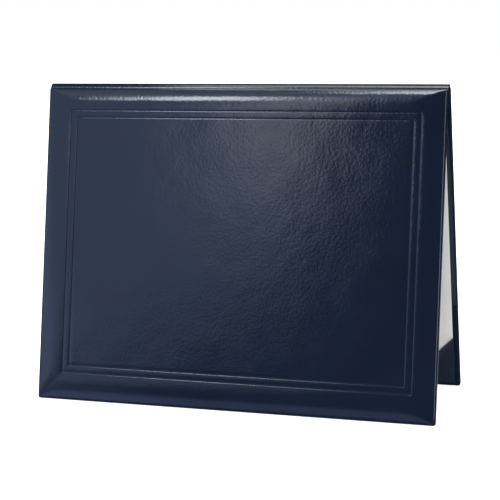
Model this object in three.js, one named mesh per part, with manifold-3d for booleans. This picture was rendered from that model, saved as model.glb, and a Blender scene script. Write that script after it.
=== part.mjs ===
// A padded cover for a landscape certificate, standing open as a tent with its fold at the top.
// Two greyboard panels are wrapped in one sheet of leatherette. The front panel is padded with foam
// and carries a double debossed frame. The back panel holds the certificate in four corner pockets.
//
// Each panel is drawn in its own frame, hanging straight down from the hinge axis:
// X runs along the fold, Y points out of the panel's outer face, and Z is up.
// The panels then turn about the hinge axis by half the opening angle each.
import * as THREE from "three";
import { mergeVertices } from "three/addons/utils/BufferGeometryUtils.js";
import Module from "manifold-3d";

// Driving dimensions, in millimetres and degrees.
const panelWidth = 296; // along the fold
const panelHeight = 229; // from the fold to the free edge
const openAngle = 23.4; // between the two panels as the cover stands
const boardThickness = 2; // greyboard
const skinThickness = 0.6; // leatherette
const seat = 0.3; // between two pieces that are glued face to face
const innerFace = 1.75; // from the closed cover's middle plane to a panel's inner face
const hingeClearance = 0.15; // from each half of the fold to the planes through the hinge axis
const turnIn = 15; // width of the leatherette folded over onto the inner face
const cornerRadius = 1.5; // of a panel's outline
const edgeRadius = 0.8; // where the leatherette turns round an unpadded edge

const rimRadius = 2; // tight bend of the padded front, next to its side wall
const rimDrop = 0.5; // the bend starts this far below the board's outer face
const padSlope = 20; // slope of the padding where the tight bend ends
const padBorder = 13; // width of the rounded border of the padding
const cornerBloom = 0.3; // how fast the border's contours round off at the corners

const frameInset = 18.5; // from a panel's edge to the middle of the outer debossed line
const framePitch = 5.2; // between the two debossed lines
const frameAcross = 1.5; // the frame was pressed this far off the middle, to the viewer's right
const frameUp = 1.8; // and this far above it
const grooveWidth = 3;
const grooveDepth = 0.5;
const grooveCornerRadius = 0.8;

const linerThickness = 0.6;
const linerInset = 4.2; // from a panel's three free edges to its white liner
const linerDrop = 5; // from a panel's fold edge to its white liner
const hingeLiningReach = 14.5; // how far the fold's inner strip is glued down on each board

const pocketThickness = 0.4;
const pocketLeg = 35; // along each edge of the liner
const hemWidth = 5; // of the folded edge across a pocket's mouth

// Worked out from the above.
const halfAngle = THREE.MathUtils.degToRad(openAngle / 2);
const boardInset = skinThickness + seat;
const boardInner = innerFace + skinThickness + seat;
const boardOuter = boardInner + boardThickness;
const liningRadius = innerFace + skinThickness; // of the inner strip's outside round the fold
const foldInnerRadius = liningRadius + seat;
const foldRadius = foldInnerRadius + skinThickness;
const foldGap = foldRadius + hingeClearance; // from the hinge axis to a panel's fold edge
const frontWall = boardOuter - rimDrop;
const backThickness = boardThickness + 2 * (skinThickness + seat);
const backWall = innerFace + backThickness - edgeRadius;
const linerOuter = innerFace - seat;
const linerInner = linerOuter - linerThickness;
const pocketOuter = linerInner - seat;
const pocketInner = pocketOuter - pocketThickness;
const hemInner = pocketInner - pocketThickness;
const axisHeight =
  (foldGap + panelHeight - edgeRadius) * Math.cos(halfAngle) -
  (innerFace + edgeRadius) * Math.sin(halfAngle) +
  edgeRadius;

const CORNER_STEPS = 4; // facets of a rounded corner
const BEND_STEPS = 5; // facets of a bend in section
const FOLD_STEPS = 8; // facets of the fold's quarter turn

const wasm = await Module();
wasm.setup();

// A closed geometry as a solid that can be joined or cut.
function solidOf(geometry) {
  const bare = new THREE.BufferGeometry();
  const loose = geometry.index ? geometry.toNonIndexed() : geometry;
  bare.setAttribute("position", loose.getAttribute("position"));
  const merged = mergeVertices(bare, 1e-4);
  const triVerts = new Uint32Array(merged.index.array);
  const vertProperties = merged.getAttribute("position").array;
  return new wasm.Manifold(new wasm.Mesh({ numProp: 3, vertProperties, triVerts }));
}

function geometryOf(solid) {
  const mesh = solid.getMesh();
  const geometry = new THREE.BufferGeometry();
  geometry.setAttribute("position", new THREE.BufferAttribute(mesh.vertProperties, mesh.numProp));
  geometry.setIndex(new THREE.BufferAttribute(mesh.triVerts, 1));
  return geometry;
}

const join = (...parts) => geometryOf(wasm.Manifold.union(parts.map(solidOf)));
const cut = (whole, part) => geometryOf(solidOf(whole).subtract(solidOf(part)));

// The outline of a panel at an inset from its edges, as points [x, z], anticlockwise seen from -Y.
function outline({ inset, radius, across = 0, up = 0 }) {
  const points = [];
  const middle = up - foldGap - panelHeight / 2;
  const reachX = panelWidth / 2 - inset - radius;
  const reachZ = panelHeight / 2 - inset - radius;
  for (const [sideX, sideZ, start] of [[1, 1, 0], [-1, 1, 1], [-1, -1, 2], [1, -1, 3]]) {
    for (let i = 0; i <= CORNER_STEPS; i++) {
      const turn = ((start + i / CORNER_STEPS) * Math.PI) / 2;
      const x = across + sideX * reachX + radius * Math.cos(turn);
      const z = middle + sideZ * reachZ + radius * Math.sin(turn);
      points.push([x, z]);
    }
  }
  return points;
}

// Lofts a solid through outlines, each at its own distance out, from the middle of its outer face,
// over its edges and back to the middle of its inner face.
function loft(rings) {
  const loops = rings.map(outline);
  const count = loops[0].length;
  const positions = [];
  rings.forEach((ring, r) => loops[r].forEach(([x, z]) => positions.push(x, ring.out, z)));
  const index = [];
  for (let r = 0; r + 1 < rings.length; r++) {
    for (let i = 0; i < count; i++) {
      const j = (i + 1) % count;
      const [a, b] = [r * count + i, r * count + j];
      const [c, d] = [a + count, b + count];
      index.push(a, b, c, b, d, c);
    }
  }
  const last = (rings.length - 1) * count;
  for (let i = 1; i + 1 < count; i++) {
    index.push(0, i + 1, i, last, last + i, last + i + 1);
  }
  const geometry = new THREE.BufferGeometry();
  geometry.setAttribute("position", new THREE.Float32BufferAttribute(positions, 3));
  geometry.setIndex(index);
  return geometry;
}

const bordered = (inset) => cornerRadius + cornerBloom * Math.max(0, inset);

// The points of an arc in a panel's section. An angle of 90 degrees points out of the panel,
// 0 towards its edge and -90 towards its inner face.
function bend(centreInset, centreOut, radius, from, to, steps = BEND_STEPS) {
  const points = [];
  for (let i = 0; i <= steps; i++) {
    const angle = THREE.MathUtils.degToRad(from + ((to - from) * i) / steps);
    const inset = centreInset - radius * Math.cos(angle);
    const out = centreOut + radius * Math.sin(angle);
    points.push({ inset, out, radius: bordered(inset) });
  }
  return points;
}

// The padded face's section at a depth below the surface: two debossed lines, the long slope
// of the border and the tight bend at the rim, which is followed down to the angle lowest.
const slope = THREE.MathUtils.degToRad(padSlope);
const padRadius = (padBorder - rimRadius * (1 - Math.sin(slope))) / Math.sin(slope);
const padCentre = frontWall + (rimRadius - padRadius) * Math.cos(slope);
const frontFace = padCentre + padRadius;

function paddedFace(depth, lowest) {
  const points = [];
  const pressed = { radius: grooveCornerRadius, across: -frameAcross, up: frameUp };
  for (const middle of [frameInset + framePitch, frameInset]) {
    for (const side of [1, 0.5, 0, -0.5, -1]) {
      const inset = middle + (side * grooveWidth) / 2;
      const sunk = (grooveDepth * (1 + Math.cos(side * Math.PI))) / 2;
      points.push({ ...pressed, inset, out: frontFace - depth - sunk });
    }
  }
  points.push(...bend(padBorder, padCentre, padRadius - depth, 90, 90 - padSlope));
  points.push(...bend(rimRadius, frontWall, rimRadius - depth, 90 - padSlope, lowest).slice(1));
  return points;
}

// An unpadded face's section at a depth below the surface.
function flatFace(depth) {
  return bend(edgeRadius, backWall, edgeRadius - depth, 90, 0);
}

// From the side wall round the inner edge to the end of the turned-in leatherette.
function turnedEdge(depth) {
  const centre = innerFace + edgeRadius;
  const end = { inset: turnIn, out: innerFace + depth, radius: grooveCornerRadius };
  return [...bend(edgeRadius, centre, edgeRadius - depth, 0, -90), end];
}

// A section drawn in points [out, down] from the hinge axis, run along the fold between two ends.
function alongFold(section, fromX, toX) {
  const shape = new THREE.Shape(section.map(([out, down]) => new THREE.Vector2(out, -down)));
  const run = new THREE.ExtrudeGeometry(shape, { depth: toX - fromX, bevelEnabled: false });
  run.applyMatrix4(new THREE.Matrix4().makeBasis(
    new THREE.Vector3(0, 1, 0),
    new THREE.Vector3(0, 0, 1),
    new THREE.Vector3(1, 0, 0),
  ));
  return run.translate(fromX, 0, 0);
}

// Half of a round fold between two radii, from its end at the hinge axis down to a depth
// below the panel's fold edge.
function halfFold(inner, outer, reach, fromX, toX) {
  const arc = (radius) => {
    const end = Math.acos(hingeClearance / radius);
    return Array.from({ length: FOLD_STEPS + 1 }, (_, i) => {
      const turn = (end * i) / FOLD_STEPS;
      return [radius * Math.cos(turn), foldGap - radius * Math.sin(turn)];
    });
  };
  const down = foldGap + reach;
  return alongFold([[inner, down], [outer, down], ...arc(outer), ...arc(inner).reverse()], fromX, toX);
}

// A flat sheet drawn as a shape in X and Z, from one distance out of the middle plane to another.
function sheet(shape, inner, outer) {
  const flat = new THREE.ExtrudeGeometry(shape, { depth: outer - inner, bevelEnabled: false });
  return flat.rotateX(Math.PI / 2).translate(0, outer, 0);
}

function shapeOf(points) {
  return new THREE.Shape(points.map(([x, z]) => new THREE.Vector2(x, z)));
}

// One panel's leatherette: a shell over the board, turned in along its edges, without the
// turn-in at the fold, where it runs on round its half of the fold. At the fold's two ends
// the sheet is turned in as well, so it is double there.
function wrap(face) {
  const shell = loft([
    ...face(0), ...turnedEdge(0),
    ...turnedEdge(skinThickness).reverse(), ...face(skinThickness).reverse(),
  ]);
  const between = panelWidth / 2 - turnIn;
  const clear = 1; // the cut runs this far past what it removes
  const foldSide = new THREE.BoxGeometry(2 * between, foldInnerRadius - innerFace + clear, turnIn + 2 * clear);
  foldSide.translate(0, (foldInnerRadius + innerFace - clear) / 2, -foldGap - turnIn / 2);
  const parts = [cut(shell, foldSide)];
  const root = skinThickness / 2; // how deep the fold is rooted in the panel's fold edge
  const end = panelWidth / 2;
  parts.push(halfFold(foldInnerRadius, foldRadius, root, -end, end));
  for (const side of [-1, 1]) {
    const span = (from, to) => [side * from, side * to].sort((a, b) => a - b);
    parts.push(halfFold(innerFace, liningRadius, root, ...span(between, end)));
    parts.push(halfFold(innerFace, foldRadius, root, ...span(end - skinThickness, end)));
  }
  return join(...parts);
}

// The foam lies on the board and follows the leatherette's inside, down to its own flat base.
function padding() {
  const depth = skinThickness + seat;
  const base = boardOuter + seat;
  const lowest = THREE.MathUtils.radToDeg(Math.asin((base - frontWall) / (rimRadius - depth)));
  return loft(paddedFace(depth, lowest));
}

function board() {
  const edge = outline({ inset: boardInset, radius: cornerRadius - skinThickness });
  return sheet(shapeOf(edge), boardInner, boardOuter);
}

// Where the liner lies on a panel: its left, right, upper and lower edge.
const linerBox = {
  left: linerInset - panelWidth / 2,
  right: panelWidth / 2 - linerInset,
  upper: -foldGap - linerDrop,
  lower: linerInset - foldGap - panelHeight,
};

function liner() {
  const { left, right, upper, lower } = linerBox;
  return sheet(shapeOf([[left, lower], [right, lower], [right, upper], [left, upper]]), linerInner, linerOuter);
}

function hingeLining() {
  const end = panelWidth / 2 - turnIn - seat;
  return halfFold(innerFace, liningRadius, hingeLiningReach, -end, end);
}

// A triangle of leatherette over one corner of the liner. Its mouth is hemmed, and its two legs
// are folded round the liner's edges.
function cornerPocket(sideX, sideZ) {
  const cornerX = sideX > 0 ? linerBox.right : linerBox.left;
  const cornerZ = sideZ > 0 ? linerBox.upper : linerBox.lower;
  const rim = seat + pocketThickness; // of the legs beyond the liner's edge
  const at = (alongX, alongZ) => [cornerX + sideX * (rim - alongX), cornerZ + sideZ * (rim - alongZ)];
  const leg = pocketLeg + 2 * rim;
  const hem = hemWidth * Math.SQRT2;
  const wall = pocketThickness;
  const parts = [
    sheet(shapeOf([at(0, 0), at(leg, 0), at(0, leg)]), pocketInner, pocketOuter),
    sheet(shapeOf([at(leg - hem, 0), at(leg, 0), at(0, leg), at(0, leg - hem)]), hemInner, pocketOuter),
    sheet(shapeOf([at(0, 0), at(leg - wall, 0), at(leg - 2 * wall, wall), at(0, wall)]), pocketInner, linerOuter),
    sheet(shapeOf([at(0, 0), at(0, leg - wall), at(wall, leg - 2 * wall), at(wall, 0)]), pocketInner, linerOuter),
  ];
  return join(...parts);
}

const leatherette = { color: 0x18264b, roughness: 0.34, metalness: 0 };
const pocketCloth = { color: 0x1a2747, roughness: 0.5, metalness: 0 };
const greyboard = { color: 0x8b8478, roughness: 0.9, metalness: 0 };
const foam = { color: 0xe9e4d6, roughness: 0.95, metalness: 0 };
const linerPaper = { color: 0xe6e2da, roughness: 0.7, metalness: 0 };

function piece(name, geometry, look) {
  const flat = geometry.index ? geometry.toNonIndexed() : geometry;
  flat.computeVertexNormals();
  const mesh = new THREE.Mesh(flat, new THREE.MeshStandardMaterial(look));
  mesh.name = name;
  return mesh;
}

function frontPanel() {
  const panel = new THREE.Group();
  panel.add(
    piece("front_board", board(), greyboard),
    piece("front_padding", padding(), foam),
    piece("front_wrap", wrap((depth) => paddedFace(depth, 0)), leatherette),
    piece("front_liner", liner(), linerPaper),
    piece("front_hinge_lining", hingeLining(), leatherette),
  );
  return panel;
}

function backPanel() {
  const panel = new THREE.Group();
  panel.add(
    piece("back_board", board(), greyboard),
    piece("back_wrap", wrap(flatFace), leatherette),
    piece("back_liner", liner(), linerPaper),
    piece("back_hinge_lining", hingeLining(), leatherette),
  );
  for (const [row, sideZ] of [["upper", 1], ["lower", -1]]) {
    for (const [column, sideX] of [["left", -1], ["right", 1]]) {
      panel.add(piece(`${row}_${column}_pocket`, cornerPocket(sideX, sideZ), pocketCloth));
    }
  }
  return panel;
}

// The front panel is turned to face the viewer at -Y, and then both lean out from the hinge axis.
const front = frontPanel();
front.rotation.z = Math.PI;
const frontCover = new THREE.Group();
frontCover.add(front);
frontCover.rotation.x = -halfAngle;
frontCover.position.z = axisHeight;

const backCover = backPanel();
backCover.rotation.x = halfAngle;
backCover.position.z = axisHeight;

const diplomaCover = new THREE.Group();
diplomaCover.name = "diploma_cover";
diplomaCover.add(frontCover, backCover);

export default diplomaCover;
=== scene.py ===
# %% [markdown]
# # A padded diploma cover
# The cover stands open as a tent. One sheet of navy leatherette wraps a padded front panel, the fold
# and a plain back panel. We load the measured model first. It is the fixed frame that every piece
# has to fit.

# %% Load the frame
import math

import bmesh
import bpy
from mathutils import Euler, Matrix, Vector


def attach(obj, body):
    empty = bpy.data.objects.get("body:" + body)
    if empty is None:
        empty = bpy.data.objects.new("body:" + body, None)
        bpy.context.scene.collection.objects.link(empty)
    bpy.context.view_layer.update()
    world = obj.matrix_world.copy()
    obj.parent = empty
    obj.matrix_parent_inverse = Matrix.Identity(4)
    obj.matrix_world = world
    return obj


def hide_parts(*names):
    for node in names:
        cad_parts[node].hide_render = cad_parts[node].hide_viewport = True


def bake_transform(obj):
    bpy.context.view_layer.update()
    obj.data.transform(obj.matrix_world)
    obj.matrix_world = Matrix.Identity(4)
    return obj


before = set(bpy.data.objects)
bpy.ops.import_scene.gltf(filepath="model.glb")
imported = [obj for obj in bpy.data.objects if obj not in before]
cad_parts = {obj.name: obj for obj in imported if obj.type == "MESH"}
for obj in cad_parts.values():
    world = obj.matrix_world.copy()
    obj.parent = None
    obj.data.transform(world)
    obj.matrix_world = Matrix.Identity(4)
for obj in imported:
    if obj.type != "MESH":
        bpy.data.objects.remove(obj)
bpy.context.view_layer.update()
MM = 0.001
print("nodes:", len(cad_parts))

# %% [markdown]
# ## The cover's measures
# A maker works from one list of measures. These are the ones the frame was built from, so pieces
# modelled here land on it without fitting. A panel's place is given by two numbers: how far down
# from the fold a point lies, and how far out of the closed cover's middle plane.

# %% Measures
PANEL_WIDTH = 296.0
PANEL_HEIGHT = 229.0
HALF_ANGLE = math.radians(23.4 / 2)
SKIN = 0.6
INNER_FACE = 1.75
FOLD_RADIUS = 3.25
FOLD_GAP = 3.4
FRONT_WALL = 4.15
BACK_WALL = 4.75
EDGE_RADIUS = 0.8
TURN_IN = 15.0
AXIS_HEIGHT = (
    (FOLD_GAP + PANEL_HEIGHT - EDGE_RADIUS) * math.cos(HALF_ANGLE)
    - (INNER_FACE + EDGE_RADIUS) * math.sin(HALF_ANGLE)
    + EDGE_RADIUS
)
FRONT = -1
BACK = 1
print("fold axis at", round(AXIS_HEIGHT, 2), "mm")


# %% [markdown]
# ## The camera
# The camera comes first, because it decides what has to look right. It could be set by eye, but a
# wrong lens can't be mended by turning it. So its place, its turn and its lens were all solved from
# the corners of the cover in the picture.


# %% Camera
CAMERA_PLACE = (0.322387, -0.993139, 0.309885)
YAW_PITCH_ROLL = (-17.861, 11.005, -1.366)
SENSOR_WIDTH = 36
FOCAL_PIXELS = 1462.3
PICTURE_WIDTH = 500


def add_camera():
    bpy.ops.object.camera_add(location=CAMERA_PLACE)
    camera = bpy.context.object
    yaw, pitch, roll = (math.radians(a) for a in YAW_PITCH_ROLL)
    ahead = Vector((math.sin(yaw) * math.cos(pitch), math.cos(yaw) * math.cos(pitch), -math.sin(pitch)))
    right = Vector((math.cos(yaw), -math.sin(yaw), 0))
    up = right.cross(ahead)
    turned_right = right * math.cos(roll) + up * math.sin(roll)
    turned_up = up * math.cos(roll) - right * math.sin(roll)
    axes = Matrix((turned_right, turned_up, -ahead)).transposed()
    camera.rotation_euler = axes.to_euler()
    camera.data.sensor_width = SENSOR_WIDTH
    camera.data.lens = SENSOR_WIDTH * FOCAL_PIXELS / PICTURE_WIDTH
    camera.data.clip_start = 0.05
    camera.data.clip_end = 50
    bpy.context.scene.camera = camera
    return camera


camera = add_camera()
print("lens:", round(camera.data.lens, 1), "mm")

# %% [markdown]
# ## Helpers for the bench
# Blender's operators act on whatever is selected, so each step starts by selecting just what it
# needs, by place or by direction. These helpers do that. The cover is modelled lying opened flat on
# the bench, outside up, with the fold along X: the front towards us and the back away from us.


# %% Selecting and finishing
def clear_selection():
    if bpy.context.object and bpy.context.object.mode != "OBJECT":
        bpy.ops.object.mode_set(mode="OBJECT")
    bpy.ops.object.select_all(action="DESELECT")


def select_only(*objects):
    clear_selection()
    for one in objects:
        one.select_set(True)
    bpy.context.view_layer.objects.active = objects[0]


def pick(kind, rule):
    """Selects the vertices, edges or faces of the edited mesh that the rule says yes to."""
    bpy.ops.mesh.select_mode(type=kind)
    bpy.ops.mesh.select_all(action="DESELECT")
    mesh = bmesh.from_edit_mesh(bpy.context.object.data)
    items = {"VERT": mesh.verts, "EDGE": mesh.edges, "FACE": mesh.faces}[kind]
    count = 0
    for item in items:
        if rule(item):
            item.select_set(True)
            count += 1
    bmesh.update_edit_mesh(bpy.context.object.data)
    return count


CLOSE = 0.01


def near(a, b):
    """Is a place on the mesh, in metres, the same as one in millimetres?"""
    return abs(a - b * MM) < CLOSE * MM


def apply_modifier(piece, kind, **settings):
    """Adds a modifier with these settings and applies it, so that the mesh itself is changed."""
    select_only(piece)
    modifier = piece.modifiers.new(kind.title(), kind)
    for key, value in settings.items():
        setattr(modifier, key, value)
    bpy.ops.object.modifier_apply(modifier=modifier.name)


def face_outwards():
    """Turns all faces of the edited mesh outwards and leaves edit mode."""
    bpy.ops.mesh.select_all(action="SELECT")
    bpy.ops.mesh.normals_make_consistent(inside=False)
    bpy.ops.object.mode_set(mode="OBJECT")


def place_in_mesh(piece):
    select_only(piece)
    bpy.ops.object.transform_apply(location=True, rotation=True, scale=True)


def stand_up(piece, side):
    """Turns a half of the cover from the bench to where it stands in the tent."""
    piece.rotation_euler = Euler((-side * (math.pi / 2 - HALF_ANGLE), 0, 0))
    piece.location = (0, 0, AXIS_HEIGHT * MM)
    place_in_mesh(piece)


def down_and_out(point, side):
    """Where a point of the standing cover lies on a panel: how far down it and out of it."""
    y, z = side * point.y / MM, point.z / MM - AXIS_HEIGHT
    sine, cosine = math.sin(HALF_ANGLE), math.cos(HALF_ANGLE)
    return y * sine - z * cosine, y * cosine + z * sine


def finish_piece(piece, name, smooth_angle=40):
    piece.name = name
    piece.data.name = name
    select_only(piece)
    bpy.ops.object.shade_smooth_by_angle(angle=math.radians(smooth_angle))
    print(name, len(piece.data.polygons), "faces")


# %% [markdown]
# ## The sections
# Cut through, the padded panel shows a tight bend at its rim, a long rounded border over the foam,
# and a flat face with two debossed lines. Bevels could round a box in a similar way, but they can't
# give this curve. So each section is a list of points, (distance in from the edge, height), that
# repeated insets of one face then follow.


# %% Sections
RIM_RADIUS = 2.0
PAD_JOIN = 70
PAD_SLOPE = math.radians(90 - PAD_JOIN)
PAD_BORDER = 13.0
PAD_RADIUS = (PAD_BORDER - RIM_RADIUS * (1 - math.sin(PAD_SLOPE))) / math.sin(PAD_SLOPE)
PAD_CENTRE = FRONT_WALL + (RIM_RADIUS - PAD_RADIUS) * math.cos(PAD_SLOPE)
FRONT_FACE = PAD_CENTRE + PAD_RADIUS
GROOVE_HALF = 0.8
GROOVE_FLOOR = 0.15
GROOVE_DEPTH = 0.11
GROOVE_STEPS = 12
EASING_RING = 14.2
GROOVES = (18.5, 23.7)
FRAME_ACROSS = 1.5
FRAME_UP = 1.8


def arc(centre_in, centre_out, radius, start, end, steps):
    """Points of an arc in a section. 0 degrees points to the edge and 90 out of the panel."""
    points = []
    for i in range(steps + 1):
        angle = math.radians(start + (end - start) * i / steps)
        points.append((centre_in - radius * math.cos(angle), centre_out + radius * math.sin(angle)))
    return points


def groove(middle, face):
    """A debossed line: a slope down, a narrow floor and a slope up, all softly rounded."""
    points = []
    for i in range(GROOVE_STEPS + 1):
        place = -GROOVE_HALF + 2 * GROOVE_HALF * i / GROOVE_STEPS
        t = (abs(place) - GROOVE_FLOOR) / (GROOVE_HALF - GROOVE_FLOOR)
        t = min(1, max(0, t))
        points.append((middle + place, face - GROOVE_DEPTH * (1 - t * t * (3 - 2 * t))))
    return points


def padded_section(depth, lowest):
    """The rim's tight bend, which goes over into the border's long one, at a depth under the outside."""
    rim = arc(RIM_RADIUS, FRONT_WALL, RIM_RADIUS - depth, lowest, PAD_JOIN, 10)
    crown = arc(PAD_BORDER, PAD_CENTRE, PAD_RADIUS - depth, PAD_JOIN, 90, 14)
    return rim + crown[1:]


print("front panel", round(FRONT_FACE - INNER_FACE, 2), "mm thick")


# %% [markdown]
# ## One half of the leatherette
# The leatherette is glued over foam and board, and turned in round their edges. A cloth simulation
# could wrap it, but it is stretched too tight to hang or fold. So each half starts as a cube without
# a bottom, a lid, and its face is inset again and again along its section.


# %% A lid over a panel
def add_lid(side, inset, bottom, top):
    """A box without a bottom over a panel, on the bench, open in edit mode with its face picked."""
    clear_selection()
    middle = side * (FOLD_GAP + PANEL_HEIGHT / 2) * MM
    bpy.ops.mesh.primitive_cube_add(size=1, location=(0, middle, (top + bottom) / 2 * MM))
    lid = bpy.context.object
    lid.scale = ((PANEL_WIDTH - 2 * inset) * MM, (PANEL_HEIGHT - 2 * inset) * MM, (top - bottom) * MM)
    place_in_mesh(lid)
    bpy.ops.object.mode_set(mode="EDIT")
    pick("FACE", lambda f: f.normal.z < -0.9)
    bpy.ops.mesh.delete(type="ONLY_FACE")
    pick("FACE", lambda f: f.normal.z > 0.9)
    return lid


# %% Insets that follow a section
def follow(section):
    """Insets the picked face from point to point of a section."""
    for (inset, height), (next_inset, next_height) in zip(section, section[1:]):
        bpy.ops.mesh.inset(thickness=(next_inset - inset) * MM, depth=(next_height - height) * MM)


def press_frame(last, face):
    """Presses the two debossed lines into the face. They sit a little right of and above its middle."""
    outer, inner = (groove(middle, face) for middle in GROOVES)
    follow([(last, face), outer[0]])
    bpy.ops.transform.translate(value=(FRAME_ACROSS * MM, FRAME_UP * MM, 0))
    follow(outer)
    follow([outer[-1], inner[0]])
    follow(inner)


# %% [markdown]
# ## Turned-in edges and corners
# The real sheet goes round the board's edge and 15 mm inwards, where it is glued. Extruding the lid's
# lower edges takes the same way. The corners could be left sharp, but leatherette never is, so a
# bevel rounds the four mitres down the walls and in over the face.


# %% The turned-in edge
TURN_IN_RING = 6.0


def turn_in(side):
    """Extrudes the lid's lower edges, all but the one at the fold, round the edge and inwards."""
    fold = side * FOLD_GAP
    height = FOLD_RADIUS
    inset = 0.0
    bend = arc(EDGE_RADIUS, INNER_FACE + EDGE_RADIUS, EDGE_RADIUS, 0, -90, 6)
    pick("EDGE", lambda e: e.is_boundary and not all(near(v.co.y, fold) for v in e.verts))
    for next_inset, next_height in bend + [(TURN_IN_RING, INNER_FACE), (TURN_IN, INNER_FACE)]:
        bpy.ops.mesh.extrude_edges_move()
        bpy.ops.transform.translate(value=(0, 0, (next_height - height) * MM))
        wide = (PANEL_WIDTH / 2 - next_inset) / (PANEL_WIDTH / 2 - inset)
        long = (PANEL_HEIGHT - next_inset) / (PANEL_HEIGHT - inset)
        bpy.ops.transform.resize(value=(wide, long, 1), center_override=(0, fold * MM, 0))
        inset, height = next_inset, next_height


# %% Rounding the mitres
CORNER_ROUND = 1.5
FOLD_CORNER_ROUND = 0.85
LONGEST_MITRE_EDGE = 50


def inset_of(point, side):
    """How far a point on the bench lies in from the nearest edge of its panel."""
    down = side * point.y / MM - FOLD_GAP
    return min(PANEL_WIDTH / 2 - abs(point.x) / MM, down, PANEL_HEIGHT - down)


def on_mitre(point, side, far):
    """Is the point on the mitre of the two far corners, or of the two at the fold?"""
    down = side * point.y / MM - FOLD_GAP
    across = PANEL_WIDTH / 2 - abs(point.x) / MM
    return abs(across - (PANEL_HEIGHT - down if far else down)) < CLOSE


def round_mitres(side, far, lowest, deepest, width):
    """Rounds a panel's mitres down its walls and in over its face, but not those of the turned-in part."""
    def on_it(point):
        inset, height = inset_of(point, side), point.z / MM
        over = height > INNER_FACE + EDGE_RADIUS and inset < deepest + CLOSE
        under = inset < EDGE_RADIUS + CLOSE
        return height > lowest - CLOSE and (over or under) and on_mitre(point, side, far)

    def rule(edge):
        return edge.calc_length() < LONGEST_MITRE_EDGE * MM and all(on_it(v.co) for v in edge.verts)

    pick("EDGE", rule)
    bpy.ops.mesh.bevel(offset=width * MM, segments=5, profile=0.5, affect="EDGES", clamp_overlap=False)


# %% [markdown]
# ## The padded front
# Foam rounds the front's border, and at each corner the round runs on in a curve that widens inwards.
# It could be sculpted, but heights taken from the section itself keep all four corners alike. The
# long strips are cut across first, so that the face has points enough to wave a little.


# %% Cross cuts
FACE_CUTS = (96, 74)
LONG_STRIP = 150


def cross_cuts(across, down):
    """Cuts every long strip of the panel across."""
    def runs(axis):
        other = 1 - axis
        return lambda e: (
            abs(e.verts[0].co[axis] - e.verts[1].co[axis]) > LONG_STRIP * MM
            and abs(e.verts[0].co[other] - e.verts[1].co[other]) < 1 * MM
        )

    pick("EDGE", runs(0))
    bpy.ops.mesh.subdivide(number_cuts=across)
    pick("EDGE", runs(1))
    bpy.ops.mesh.subdivide(number_cuts=down)


# %% Corners that widen inwards
BLOOM_FROM = 1.4
BLOOM_TO = 15.2
BLOOM_WIDTH = 2.4
BLOOM_SPREAD = 1.4


def face_height(inset, depth=0.0):
    """The height of the padded face above the bench, at a distance in from the panel's edge."""
    radius, centre_in, centre_out = PAD_RADIUS - depth, PAD_BORDER, PAD_CENTRE
    if inset < RIM_RADIUS - (RIM_RADIUS - depth) * math.sin(PAD_SLOPE):
        radius, centre_in, centre_out = RIM_RADIUS - depth, RIM_RADIUS, FRONT_WALL
    short = min(radius, max(0, centre_in - inset))
    return centre_out + math.sqrt(radius**2 - short**2)


def bloom_corners(depth=0.0):
    """Lets the foam's rounded border run round each corner in a curve that widens inwards."""
    mesh = bmesh.from_edit_mesh(bpy.context.object.data)
    for vertex in mesh.verts:
        down = -vertex.co.y / MM - FOLD_GAP
        across, along = PANEL_WIDTH / 2 - abs(vertex.co.x) / MM, min(down, PANEL_HEIGHT - down)
        inset = min(across, along)
        width = BLOOM_WIDTH + BLOOM_SPREAD * (inset - BLOOM_FROM)
        aside = abs(across - along)
        if BLOOM_FROM < inset < BLOOM_TO and aside < width and vertex.co.z > FRONT_WALL * MM:
            pulled = inset - width / 4 * (1 - aside / width) ** 2
            vertex.co.z = face_height(pulled, depth) * MM
    bmesh.update_edit_mesh(bpy.context.object.data)


# %% The padded front half
front_half = add_lid(FRONT, 0, FOLD_RADIUS, FRONT_WALL)
follow(padded_section(0, 0) + [(EASING_RING, FRONT_FACE)])
press_frame(EASING_RING, FRONT_FACE)
turn_in(FRONT)
round_mitres(FRONT, True, INNER_FACE, PAD_BORDER, CORNER_ROUND)
round_mitres(FRONT, False, FRONT_WALL, PAD_BORDER, FOLD_CORNER_ROUND)
cross_cuts(*FACE_CUTS)
bloom_corners()
stand_up(front_half, FRONT)
print("front half:", len(front_half.data.polygons), "faces")

# %% [markdown]
# ## The plain back
# The back panel has no foam: its leatherette lies straight on the board, with a small round at the
# edge. It could be a copy of the front with the padding taken out, but the same helpers make it
# anew in a few lines.

# %% The plain back half
BACK_FACE = BACK_WALL + EDGE_RADIUS
BACK_RING = 9
back_half = add_lid(BACK, 0, FOLD_RADIUS, BACK_WALL)
follow(arc(EDGE_RADIUS, BACK_WALL, EDGE_RADIUS, 0, 90, 8) + [(BACK_RING, BACK_FACE)])
turn_in(BACK)
round_mitres(BACK, True, INNER_FACE, EDGE_RADIUS, CORNER_ROUND)
round_mitres(BACK, False, BACK_WALL, EDGE_RADIUS, FOLD_CORNER_ROUND)
cross_cuts(*FACE_CUTS)
stand_up(back_half, BACK)
print("back half:", len(back_half.data.polygons), "faces")

# %% [markdown]
# ## The fold
# The two halves are one sheet on the real cover. A strip could bridge them, but its round would be
# guesswork. So we join them and spin the front's open edge about a line under the fold until it meets
# the back's. The turned-in ends go round with it, so the fold is double at both ends, as it is on the
# real cover. Then it is pressed a little flatter.


# %% Spin the fold
SPIN_HEIGHT = AXIS_HEIGHT - FOLD_GAP / math.cos(HALF_ANGLE)
FOLD_TOP = 0.45
FOLD_STEPS = 16
MERGE = 0.02


def in_fold(point):
    return all(down_and_out(point, side)[0] < FOLD_GAP - MERGE for side in (FRONT, BACK))


def at_fold_edge(point, side):
    return abs(down_and_out(point, side)[0] - FOLD_GAP) < 0.005 and side * point.y > 0


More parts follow.
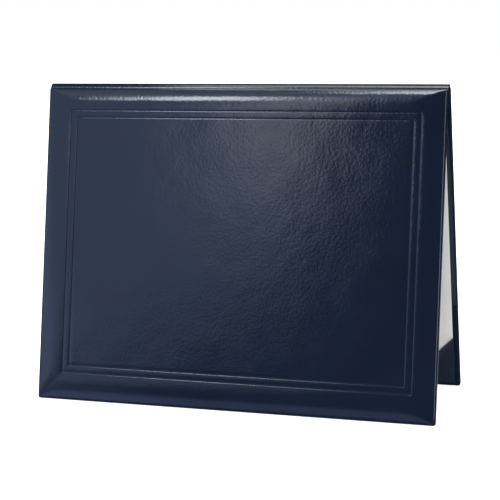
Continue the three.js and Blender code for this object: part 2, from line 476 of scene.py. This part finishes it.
def spin_fold(radius):
    """Spins the picked edges of the front over to the back, joins them up and flattens the round."""
    bpy.ops.mesh.spin(
        steps=FOLD_STEPS, angle=math.pi - 2 * HALF_ANGLE, center=(0, 0, SPIN_HEIGHT * MM), axis=(1, 0, 0)
    )
    bpy.ops.mesh.select_all(action="SELECT")
    bpy.ops.mesh.remove_doubles(threshold=MERGE * MM)
    foot = -FOLD_GAP * math.cos(HALF_ANGLE) + radius * math.sin(HALF_ANGLE)
    crest = -FOLD_GAP / math.cos(HALF_ANGLE) + radius + FOLD_GAP * math.tan(HALF_ANGLE)
    squeeze = (FOLD_TOP - (FOLD_RADIUS - radius) - foot) / (crest - foot)
    pick("VERT", lambda v: in_fold(v.co))
    bpy.ops.transform.resize(value=(1, 1, squeeze), center_override=(0, 0, (AXIS_HEIGHT + foot) * MM))
    face_outwards()
    return crest


select_only(front_half, back_half)
bpy.ops.object.join()
cover_skin = bpy.context.object
bpy.ops.object.mode_set(mode="EDIT")
edges = pick("EDGE", lambda e: e.is_boundary and all(at_fold_edge(v.co, FRONT) for v in e.verts))
crest = spin_fold(FOLD_RADIUS)
print("fold edges:", edges, "crest:", round(crest, 2))

# %% [markdown]
# ## Life in the sheet
# Leatherette stretched over foam is never quite flat, which its reflections show. Bump alone could
# hint at it, but real waves also hold from the side. Two soft cloud patterns move the face in and out
# by a tenth of a millimetre, on the flat of the panels only, so the edges stay true. After that the
# sheet gets its real thickness, on its inner side.


# %% Waves and thickness
FACE_DEPTH = 1.4
WAVE_BORDER = 2
WAVE_FADE = 6


def waves(piece, name, size, strength, rule):
    group = piece.vertex_groups.new(name=name)
    for vertex in piece.data.vertices:
        weight = rule(vertex.co)
        if weight > 0:
            group.add([vertex.index], weight, "REPLACE")
    clouds = bpy.data.textures.new(name, "CLOUDS")
    clouds.noise_scale = size * MM
    clouds.noise_depth = 1
    apply_modifier(
        piece, "DISPLACE", texture=clouds, texture_coords="LOCAL", vertex_group=name,
        strength=strength * MM, mid_level=0.5,
    )


def on_face(point):
    """How much a point waves: fully on the flat of a panel, less towards its border, else not."""
    for side, face in ((FRONT, FRONT_FACE), (BACK, BACK_FACE)):
        down, out = down_and_out(point, side)
        if side * point.y > 0 and out > face - FACE_DEPTH:
            down -= FOLD_GAP
            inset = min(PANEL_WIDTH / 2 - abs(point.x) / MM, down, PANEL_HEIGHT - down)
            return min(1, max(0, (inset - WAVE_BORDER) / WAVE_FADE))
    return 0


waves(cover_skin, "long_waves", size=38, strength=0.16, rule=on_face)
waves(cover_skin, "short_waves", size=9, strength=0.05, rule=on_face)
apply_modifier(cover_skin, "SOLIDIFY", thickness=SKIN * MM, offset=-1)
finish_piece(cover_skin, "cover_skin", smooth_angle=50)

# %% [markdown]
# ## The foam
# A sheet of foam lies on the front's board under the leatherette. Nobody sees it, and a plain slab
# could stand in for it, but it is what rounds the border. So it is made from the same section, a
# little more than one skin thickness deeper.


# %% Foam pad
PAD_BASE = 4.95
PAD_CLEARANCE = 0.3
PAD_LID_WALL = 0.6
PAD_CUTS = (60, 46)


def make_foam():
    depth = SKIN + PAD_CLEARANCE
    lowest = math.asin((PAD_BASE - FRONT_WALL) / (RIM_RADIUS - depth))
    section = padded_section(depth, math.degrees(lowest))
    start = section[0][0]
    pad = add_lid(FRONT, start, PAD_BASE - PAD_LID_WALL, PAD_BASE)
    follow([(start, PAD_BASE)] + section[1:] + [(EASING_RING, FRONT_FACE - depth)])
    press_frame(EASING_RING, FRONT_FACE - depth)
    pick("FACE", lambda f: f.normal.z < 0.3 and all(v.co.z < (PAD_BASE + CLOSE) * MM for v in f.verts))
    bpy.ops.mesh.delete(type="FACE")
    pick("EDGE", lambda e: e.is_boundary)
    bpy.ops.mesh.edge_face_add()
    cross_cuts(*PAD_CUTS)
    bloom_corners(depth)
    face_outwards()
    stand_up(pad, FRONT)
    finish_piece(pad, "foam_pad")
    return pad


foam_pad = make_foam()

# %% [markdown]
# ## The strip inside the fold
# A strip of the same leatherette lines the fold and is glued down on both boards. It could be a flat
# strip that is bent, but the fold's round is already known. So it starts as two flat flaps, and the
# round between them is spun as the outside was.


# %% Fold lining
LINING_REACH = 14.5
GLUE_GAP = 0.3
LINING_HALF = PANEL_WIDTH / 2 - TURN_IN - GLUE_GAP
LINING_THICK = 0.5


def add_flap(side):
    clear_selection()
    bpy.ops.mesh.primitive_plane_add(
        size=1, location=(0, side * (FOLD_GAP + LINING_REACH / 2) * MM, INNER_FACE * MM)
    )
    flap = bpy.context.object
    flap.scale = (2 * LINING_HALF * MM, LINING_REACH * MM, 1)
    place_in_mesh(flap)
    stand_up(flap, side)
    return flap


front_flap = add_flap(FRONT)
back_flap = add_flap(BACK)
select_only(front_flap, back_flap)
bpy.ops.object.join()
fold_lining = bpy.context.object
bpy.ops.object.mode_set(mode="EDIT")
pick("EDGE", lambda e: all(at_fold_edge(v.co, FRONT) for v in e.verts))
spin_fold(INNER_FACE)
apply_modifier(fold_lining, "SOLIDIFY", thickness=LINING_THICK * MM, offset=-1)
finish_piece(fold_lining, "fold_lining")


# %% [markdown]
# ## The white linings
# Each board's inside is faced with an off-white sheet that covers the raw edges of the turned-in
# leatherette. A plane alone would have no edge to catch the light, so it is a plane with points
# enough to bend, given its thickness and slightly eased edges.


# %% Linings
LINER_INSET = 4.2
LINER_DROP = 5.0
LINER_OUTER = 1.45
LINER_THICK = 0.6
LINER_EASE = 0.12
LINER_CUTS = 40
LINER_HALF = PANEL_WIDTH / 2 - LINER_INSET
LINER_UPPER = FOLD_GAP + LINER_DROP
LINER_LOWER = FOLD_GAP + PANEL_HEIGHT - LINER_INSET


def make_liner(side, name):
    clear_selection()
    middle = side * (LINER_UPPER + LINER_LOWER) / 2
    bpy.ops.mesh.primitive_plane_add(size=1, location=(0, middle * MM, LINER_OUTER * MM))
    liner = bpy.context.object
    liner.scale = (2 * LINER_HALF * MM, (LINER_LOWER - LINER_UPPER) * MM, 1)
    place_in_mesh(liner)
    bpy.ops.object.mode_set(mode="EDIT")
    bpy.ops.mesh.select_all(action="SELECT")
    bpy.ops.mesh.subdivide(number_cuts=LINER_CUTS)
    bpy.ops.object.mode_set(mode="OBJECT")
    apply_modifier(liner, "SOLIDIFY", thickness=LINER_THICK * MM, offset=-1)
    apply_modifier(liner, "BEVEL", width=LINER_EASE * MM, segments=2, limit_method="ANGLE")
    stand_up(liner, side)
    finish_piece(liner, name)
    return liner


front_lining = make_liner(FRONT, "front_lining")
back_lining = make_liner(BACK, "back_lining")

# %% [markdown]
# ## The corner pockets
# Four triangles of thin leatherette hold the certificate's corners. Each has a hem folded along its
# mouth, and its two legs go round the lining's edges. They could be four plain prisms, but the hem is
# what one sees of them. So one is modelled flat with its corner at the origin, from a plane that is
# bisected and extruded, and copied to the four corners of the back.


# %% The pocket's triangle
POCKET_LEG = 36.4
MOUTH = POCKET_LEG / math.sqrt(2)
TO_MOUTH = Vector((1, 1, 0)).normalized()
POCKET_FACE = 0.15


def cut_triangle():
    """A flat right triangle with its corner at the origin, open in edit mode."""
    clear_selection()
    bpy.ops.mesh.primitive_plane_add(size=1, location=(0.5, 0.5, 0))
    pocket = bpy.context.object
    place_in_mesh(pocket)
    bpy.ops.object.mode_set(mode="EDIT")
    pick("VERT", lambda v: v.co.x > 0.9 and v.co.y > 0.9)
    bpy.ops.mesh.delete(type="VERT")
    bpy.ops.mesh.select_all(action="SELECT")
    bpy.ops.mesh.edge_face_add()
    bpy.ops.transform.resize(value=(POCKET_LEG * MM, POCKET_LEG * MM, 1), center_override=(0, 0, 0))
    return pocket


# %% The hem and the legs
HEM_WIDTH = 5.0
HEM_STEP = 0.7
HEM_FACE = -0.25
HEM_ROUND = 0.3
LEG_DROP = 1.3


def beyond(point, distance):
    """Does a point lie beyond a distance from the corner, measured towards the mouth?"""
    return point.dot(TO_MOUTH) > distance * MM


def fold_hem():
    """Steps the mouth up to its hem, then folds the hem round and back under."""
    for back_off in (HEM_WIDTH, HEM_WIDTH + HEM_STEP):
        bpy.ops.mesh.select_all(action="SELECT")
        bpy.ops.mesh.bisect(plane_co=TO_MOUTH * (MOUTH - back_off) * MM, plane_no=TO_MOUTH)
    pick("VERT", lambda v: beyond(v.co, MOUTH - HEM_WIDTH - 0.1))
    bpy.ops.transform.translate(value=(0, 0, (HEM_FACE - POCKET_FACE) * MM))
    pick("EDGE", lambda e: all(beyond(v.co, MOUTH - CLOSE) for v in e.verts))
    for angle in (45, 90, 135, 180):
        bpy.ops.mesh.extrude_edges_move()
        turn, last = math.radians(angle), math.radians(angle - 45)
        out = HEM_ROUND * (math.sin(turn) - math.sin(last))
        rise = HEM_ROUND * (math.cos(last) - math.cos(turn))
        bpy.ops.transform.translate(value=(TO_MOUTH.x * out * MM, TO_MOUTH.y * out * MM, rise * MM))
    bpy.ops.mesh.extrude_edges_move()
    bpy.ops.transform.translate(value=-TO_MOUTH * HEM_WIDTH * MM)


def drop_legs():
    """Trims the hem's ends, then takes both legs down round the lining's edges."""
    for leg in ((1, 0, 0), (0, 1, 0)):
        bpy.ops.mesh.select_all(action="SELECT")
        bpy.ops.mesh.bisect(plane_co=(0, 0, 0), plane_no=leg, clear_inner=True)

    def on_leg(point, axis):
        return near(point[axis], 0) and point.z < CLOSE * MM and not beyond(point, MOUTH + CLOSE)

    pick("EDGE", lambda e: e.is_boundary and any(all(on_leg(v.co, a) for v in e.verts) for a in (0, 1)))
    bpy.ops.mesh.extrude_edges_move()
    bpy.ops.transform.translate(value=(0, 0, LEG_DROP * MM))
    face_outwards()


pocket_pattern = cut_triangle()
fold_hem()
drop_legs()

# %% The four pockets
POCKET_RIM = 0.7
POCKET_THICK = 0.3
POCKET_EASE = 0.08


def add_pocket(side_x, row, name):
    """Copies the pocket to a corner. row is -1 next to the fold and 1 at the lower edge."""
    select_only(pocket_pattern)
    bpy.ops.object.duplicate()
    pocket = bpy.context.object
    down = LINER_LOWER + POCKET_RIM if row > 0 else LINER_UPPER - POCKET_RIM
    pocket.location = (side_x * (LINER_HALF + POCKET_RIM) * MM, down * MM, POCKET_FACE * MM)
    pocket.scale = (-side_x, -row, 1)
    place_in_mesh(pocket)
    bpy.ops.object.mode_set(mode="EDIT")
    face_outwards()
    apply_modifier(pocket, "SOLIDIFY", thickness=POCKET_THICK * MM, offset=-1)
    apply_modifier(pocket, "BEVEL", width=POCKET_EASE * MM, segments=2, limit_method="ANGLE")
    stand_up(pocket, BACK)
    finish_piece(pocket, name)
    return pocket


pockets = {}
for row_name, row in (("upper", -1), ("lower", 1)):
    for column, side_x in (("left", -1), ("right", 1)):
        node = f"{row_name}_{column}_pocket"
        pockets[node] = add_pocket(side_x, row, f"{row_name}_{column}_corner")
select_only(pocket_pattern)
bpy.ops.object.delete()

# %% [markdown]
# ## Leatherette
# The sheet is coated cloth: a smooth, glossy navy film embossed with a soft pebble, which breaks a
# highlight into sparkle. Cells would make sharp creases, as on real hide, so noise is used here, in
# two sizes for the pebble and the pores. A slow noise shifts colour and gloss a little, as handling
# does. The helpers are shared by all the materials.


# %% Material helpers
def start_material(name):
    material = bpy.data.materials.new(name)
    material.use_nodes = True
    tree = material.node_tree
    shader = tree.nodes["Principled BSDF"]
    place = tree.nodes.new("ShaderNodeTexCoord").outputs["Object"]
    return material, tree, shader, place


def noise(tree, place, size, detail=2.0, rough=0.5):
    """Noise whose features are about size millimetres across."""
    node = tree.nodes.new("ShaderNodeTexNoise")
    node.inputs["Scale"].default_value = 1 / (size * MM)
    node.inputs["Detail"].default_value = detail
    node.inputs["Roughness"].default_value = rough
    tree.links.new(place, node.inputs["Vector"])
    return node.outputs["Fac"]


def ramp(tree, value, *stops):
    node = tree.nodes.new("ShaderNodeValToRGB")
    while len(node.color_ramp.elements) < len(stops):
        node.color_ramp.elements.new(0.5)
    for element, (at, colour) in zip(node.color_ramp.elements, stops):
        element.position = at
        element.color = (*colour, 1)
    tree.links.new(value, node.inputs["Fac"])
    return node.outputs["Color"]


def spread(tree, value, low, high):
    """Maps a value from 0.3-0.7, where noise mostly lies, to low-high."""
    node = tree.nodes.new("ShaderNodeMapRange")
    node.inputs["From Min"].default_value = 0.3
    node.inputs["From Max"].default_value = 0.7
    node.inputs["To Min"].default_value = low
    node.inputs["To Max"].default_value = high
    tree.links.new(value, node.inputs["Value"])
    return node.outputs["Result"]


def bump(tree, height, depth, before=None):
    """Relief of a depth in millimetres, on top of the relief before it."""
    node = tree.nodes.new("ShaderNodeBump")
    node.inputs["Strength"].default_value = 1
    node.inputs["Distance"].default_value = depth * MM
    tree.links.new(height, node.inputs["Height"])
    if before is not None:
        tree.links.new(before, node.inputs["Normal"])
    return node.outputs["Normal"]


# %% Leatherette material
SHADE_PATCH = 45
GLOSS_PATCH = 18
PEBBLE = 2.0
PORE = 0.55
PORE_SHARE = 0.12
FILM_IOR = 1.47


def leatherette(name, dark, light, gloss, pebble_depth):
    """Two shades of navy, a range of roughness, and the depth of the pebble in millimetres."""
    material, tree, shader, place = start_material(name)
    slow = noise(tree, place, SHADE_PATCH, 3)
    tree.links.new(ramp(tree, slow, (0.3, dark), (0.7, light)), shader.inputs["Base Color"])
    tree.links.new(spread(tree, noise(tree, place, GLOSS_PATCH, 3), *gloss), shader.inputs["Roughness"])
    pebble = bump(tree, noise(tree, place, PEBBLE, 1.5), pebble_depth)
    pores = bump(tree, noise(tree, place, PORE, 1), pebble_depth * PORE_SHARE, pebble)
    tree.links.new(pores, shader.inputs["Normal"])
    shader.inputs["IOR"].default_value = FILM_IOR
    return material


skin_finish = leatherette(
    "navy_leatherette", dark=(0.0039, 0.0067, 0.0149), light=(0.0049, 0.0084, 0.0178), gloss=(0.085, 0.12),
    pebble_depth=0.042,
)
pocket_finish = leatherette(
    "pocket_leatherette", dark=(0.0036, 0.0088, 0.024), light=(0.005, 0.011, 0.028), gloss=(0.42, 0.5),
    pebble_depth=0.02,
)

# %% [markdown]
# ## Paper, board and foam
# The lining is off-white paper with a faint fibre. Greyboard is recycled pulp, mottled with flecks.
# The foam is cream with open cells. One plain colour would do from afar, but each is given its own
# grain at its real size. The last two are only seen if the cover is taken apart.


# %% Paper, board and foam materials
def lining_paper():
    material, tree, shader, place = start_material("lining_paper")
    cloudy = noise(tree, place, 30, 4)
    tree.links.new(
        ramp(tree, cloudy, (0.3, (0.5, 0.488, 0.468)), (0.7, (0.55, 0.537, 0.515))),
        shader.inputs["Base Color"],
    )
    shader.inputs["Roughness"].default_value = 0.62
    shader.inputs["Specular IOR Level"].default_value = 0.35
    tree.links.new(bump(tree, noise(tree, place, 0.8, 6, 0.7), 0.02), shader.inputs["Normal"])
    return material


def greyboard():
    material, tree, shader, place = start_material("greyboard")
    flecks = noise(tree, place, 1.6, 8, 0.75)
    shades = ((0.3, (0.16, 0.15, 0.135)), (0.55, (0.27, 0.25, 0.22)), (0.75, (0.36, 0.34, 0.3)))
    tree.links.new(ramp(tree, flecks, *shades), shader.inputs["Base Color"])
    shader.inputs["Roughness"].default_value = 0.92
    tree.links.new(bump(tree, flecks, 0.06), shader.inputs["Normal"])
    return material


def cream_foam():
    material, tree, shader, place = start_material("cream_foam")
    cells = tree.nodes.new("ShaderNodeTexVoronoi")
    cells.inputs["Scale"].default_value = 1 / (0.7 * MM)
    tree.links.new(place, cells.inputs["Vector"])
    # The colour is darkest in the middle of each cell, where the bump makes a hollow. That darkening is
    # painted shade in the pores, over the foam's cream.
    tree.links.new(
        ramp(tree, cells.outputs["Distance"], (0.0, (0.62, 0.58, 0.48)), (0.6, (0.8, 0.77, 0.68))),
        shader.inputs["Base Color"],
    )
    shader.inputs["Roughness"].default_value = 0.95
    tree.links.new(bump(tree, cells.outputs["Distance"], 0.25), shader.inputs["Normal"])
    return material


def dress(piece, material):
    piece.data.materials.clear()
    piece.data.materials.append(material)


dress(cover_skin, skin_finish)
dress(fold_lining, skin_finish)
dress(foam_pad, cream_foam())
paper = lining_paper()
dress(front_lining, paper)
dress(back_lining, paper)
for pocket in pockets.values():
    dress(pocket, pocket_finish)
board_finish = greyboard()
for name in ("front_board", "back_board"):
    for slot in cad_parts[name].material_slots:
        slot.material = board_finish
print("materials:", len(bpy.data.materials))


# %% [markdown]
# ## The studio
# The picture has a white ground and no shadow to speak of. The cover is glossy, so what it mirrors
# makes the picture: a tall soft box left of the camera that fades downwards, a dimmer panel further
# left, lamps above that draw the lines along the rounded top, and one at the right for the grooves
# and the rim. A box behind gives the back its gloss. They could all be area lights, but those have
# hard edges in a mirror. So they are painted into the world by direction, where edges can fade.


# %% Helpers for the world
def number(tree, operation, first, second):
    """A math node: each input is a socket or a plain number."""
    node = tree.nodes.new("ShaderNodeMath")
    node.operation = operation
    for socket, value in zip(node.inputs, (first, second)):
        if isinstance(value, (int, float)):
            socket.default_value = value
        else:
            tree.links.new(value, socket)
    return node.outputs[0]


def rise_between(tree, value, low, high):
    """0 below low, 1 above high and smooth in between, or the other way round if high is lower."""
    node = tree.nodes.new("ShaderNodeMapRange")
    node.interpolation_type = "SMOOTHSTEP"
    node.inputs["From Min"].default_value = min(low, high)
    node.inputs["From Max"].default_value = max(low, high)
    node.inputs["To Min"].default_value = 0 if high > low else 1
    node.inputs["To Max"].default_value = 1 if high > low else 0
    tree.links.new(value, node.inputs["Value"])
    return node.outputs["Result"]


def directions(tree):
    """Azimuth, from -Y towards +X, and elevation of the world's directions, in degrees."""
    apart = tree.nodes.new("ShaderNodeSeparateXYZ")
    tree.links.new(tree.nodes.new("ShaderNodeTexCoord").outputs["Generated"], apart.inputs[0])
    x, y, z = apart.outputs
    azimuth = number(tree, "ARCTAN2", x, number(tree, "MULTIPLY", y, -1.0))
    elevation = number(tree, "ARCSINE", z, 0.0)
    degrees = 180 / math.pi
    return number(tree, "MULTIPLY", azimuth, degrees), number(tree, "MULTIPLY", elevation, degrees)


def soft_box(tree, azimuth, elevation, sides, heights, strength):
    """How bright a box is in each direction."""
    left, right = sides
    box = number(tree, "MULTIPLY", rise_between(tree, azimuth, *left), rise_between(tree, azimuth, *right))
    for edge in heights:
        box = number(tree, "MULTIPLY", box, rise_between(tree, elevation, *edge))
    return number(tree, "MULTIPLY", box, strength)


# %% The soft boxes
# Each box has its sides (azimuth), its heights (elevation), its strength and its colour. Every edge
# is a pair of angles, where it starts and where it is full.
ROOM = (0.03, (1, 1.05, 1.2))
FRONT_BOXES = {
    "tall": (((-21.5, -17.5), (-13.5, -17.3)), ((10.5, 16.5), (46, 29)), 1.9, (1.06, 1.08, 1.12)),
    "wide": (((-95, -60), (-13.6, -17.8)), ((-4, 4), (60, 35)), 1.0, (0.62, 0.78, 1.12)),
    "left_lamp": (((-28.5, -24), (-19, -22.5)), ((27, 31), (40, 35)), 18, (0.95, 1, 1.1)),
    "upper": (((-60, -35), (-10, -18)), ((34, 40), (66, 56)), 0.6, (0.8, 0.95, 1.2)),
    "right_lamp": (((-25, -17), (14, 2)), ((47, 49.5), (58, 54)), 14, (0.95, 1, 1.1)),
    "rim_lamp": (((-26, -18), (20, 6)), ((60, 64), (84, 76)), 14, (0.95, 1, 1.05)),
    "side_lamp": (((40, 44), (58, 54)), ((-4, 2), (32, 24)), 6, (0.88, 0.94, 1.06)),
    "low_left": (((-90, -60), (-20, -26)), ((-36, -28), (11, 4)), 0.6, (0.5, 0.62, 1.1)),
    "ground": (((-90, -60), (40, 15)), ((-34, -27), (-8, -18)), 0.9, (0.4, 0.5, 1)),
}
REAR_BOXES = {
    "rear": (((115, 145), (190, 185)), ((2, 9), (55, 25)), 0.7, (0.9, 1, 1.15)),
    "rear_ground": (((135, 155), (190, 185)), ((-34, -27), (-6, -13)), 0.35, (0.85, 1, 1.25)),
}
WIDE_LEAN = 2.4
WIDE_FADE = (30, 46)


def add_glow(tree, light, strength, colour):
    """Adds one colour of light, with a number or a socket for its strength, to the light so far."""
    glow = tree.nodes.new("ShaderNodeBackground")
    glow.inputs["Color"].default_value = (*colour, 1)
    if isinstance(strength, (int, float)):
        glow.inputs["Strength"].default_value = strength
    else:
        tree.links.new(strength, glow.inputs["Strength"])
    if light is None:
        return glow.outputs[0]
    both = tree.nodes.new("ShaderNodeAddShader")
    tree.links.new(light, both.inputs[0])
    tree.links.new(glow.outputs[0], both.inputs[1])
    return both.outputs[0]


def lean(tree, azimuth, elevation):
    """Fades the wide box out along a slanting lower edge."""
    slant = number(tree, "SUBTRACT", number(tree, "MULTIPLY", elevation, WIDE_LEAN), azimuth)
    return rise_between(tree, slant, *WIDE_FADE)


def set_world():
    """The boxes light the cover, and the camera sees plain white behind it."""
    world = bpy.context.scene.world or bpy.data.worlds.new("studio")
    bpy.context.scene.world = world
    world.use_nodes = True
    tree = world.node_tree
    tree.nodes.clear()
    azimuth, elevation = directions(tree)
    light = add_glow(tree, None, *ROOM)
    for name, (sides, heights, strength, colour) in FRONT_BOXES.items():
        box = soft_box(tree, azimuth, elevation, sides, heights, strength)
        if name == "wide":
            box = number(tree, "MULTIPLY", box, lean(tree, azimuth, elevation))
        light = add_glow(tree, light, box, colour)
    behind = number(tree, "ABSOLUTE", azimuth, 0.0)
    for sides, heights, strength, colour in REAR_BOXES.values():
        box = soft_box(tree, behind, elevation, sides, heights, strength)
        light = add_glow(tree, light, box, colour)
    white = tree.nodes.new("ShaderNodeBackground")
    white.inputs["Color"].default_value = (1, 1, 1, 1)
    mix = tree.nodes.new("ShaderNodeMixShader")
    seen = tree.nodes.new("ShaderNodeLightPath")
    output = tree.nodes.new("ShaderNodeOutputWorld")
    tree.links.new(seen.outputs["Is Camera Ray"], mix.inputs["Fac"])
    tree.links.new(light, mix.inputs[1])
    tree.links.new(white.outputs[0], mix.inputs[2])
    tree.links.new(mix.outputs[0], output.inputs["Surface"])


set_world()
print("soft boxes:", len(FRONT_BOXES) + len(REAR_BOXES))

# %% [markdown]
# ## The floor and the area lights
# The floor is plain and pale, and glows a little so that it comes out as white as the ground in the
# picture. A real sweep of paper would be mirrored in the gloss all over, so this one is hidden from
# reflections. Three area lights overhead, beside and behind light what doesn't shine.


# %% Floor and area lights
def add_floor():
    clear_selection()
    bpy.ops.mesh.primitive_plane_add(size=8, location=(0, 0, 0))
    floor = bpy.context.object
    floor.name = "floor"
    bpy.ops.object.mode_set(mode="EDIT")
    bpy.ops.mesh.subdivide(number_cuts=3)
    bpy.ops.object.mode_set(mode="OBJECT")
    material, tree, shader, place = start_material("white_floor")
    tree.links.new(
        ramp(tree, noise(tree, place, 200), (0.3, (0.9, 0.9, 0.9)), (0.7, (0.92, 0.92, 0.92))),
        shader.inputs["Base Color"],
    )
    shader.inputs["Roughness"].default_value = 0.9
    shader.inputs["Specular IOR Level"].default_value = 0.1
    shader.inputs["Emission Color"].default_value = (1, 1, 1, 1)
    shader.inputs["Emission Strength"].default_value = 0.8
    dress(floor, material)
    floor.visible_glossy = False


AIM = Vector((0, 0, 0.12))


def add_light(name, azimuth, elevation, distance, size, watts):
    """A soft box that faces the cover from a direction. Azimuth 0 is -Y, positive to the right."""
    turn, rise = math.radians(azimuth), math.radians(elevation)
    way = Vector((math.sin(turn) * math.cos(rise), -math.cos(turn) * math.cos(rise), math.sin(rise)))
    bpy.ops.object.light_add(type="AREA", location=AIM + way * distance)
    light = bpy.context.object
    light.name = name
    light.rotation_euler = way.to_track_quat("Z", "Y").to_euler()
    light.data.shape = "RECTANGLE"
    light.data.size, light.data.size_y = size
    light.data.energy = watts


add_floor()
add_light("overhead_box", 0, 76, distance=1.8, size=(1.4, 0.9), watts=22)
add_light("side_fill", 70, 30, distance=2.2, size=(1.0, 1.0), watts=8)
add_light("rear_fill", 165, 35, distance=2.4, size=(1.6, 1.2), watts=22)
bpy.context.scene.view_settings.view_transform = "Standard"
bpy.context.scene.view_settings.look = "None"

# %% [markdown]
# ## What each piece rides on
# The leatherette and the strip inside the fold cross the joint. Split in two they would tear there,
# so each is kept whole and is tied to neither panel. Everything else is glued to one panel and rides
# on it. The measured piece that each new one stands for is hidden.

# %% Bodies and hidden frame pieces
for piece in (cover_skin, fold_lining):
    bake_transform(piece)
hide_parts("front_wrap", "back_wrap")
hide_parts("front_hinge_lining", "back_hinge_lining")
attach(foam_pad, "front_cover")
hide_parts("front_padding")
for piece, body, node in (
    (front_lining, "front_cover", "front_liner"), (back_lining, "back_cover", "back_liner")
):
    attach(piece, body)
    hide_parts(node)
for node, pocket in pockets.items():
    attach(pocket, "back_cover")
    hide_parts(node)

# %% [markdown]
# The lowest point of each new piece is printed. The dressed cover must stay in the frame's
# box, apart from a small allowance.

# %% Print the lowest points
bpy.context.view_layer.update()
for piece in (cover_skin, fold_lining, foam_pad, front_lining, back_lining, *pockets.values()):
    lowest = min(piece.data.vertices, key=lambda v: v.co.z).co / MM
    print(piece.name, "lowest point", [round(c, 2) for c in lowest])
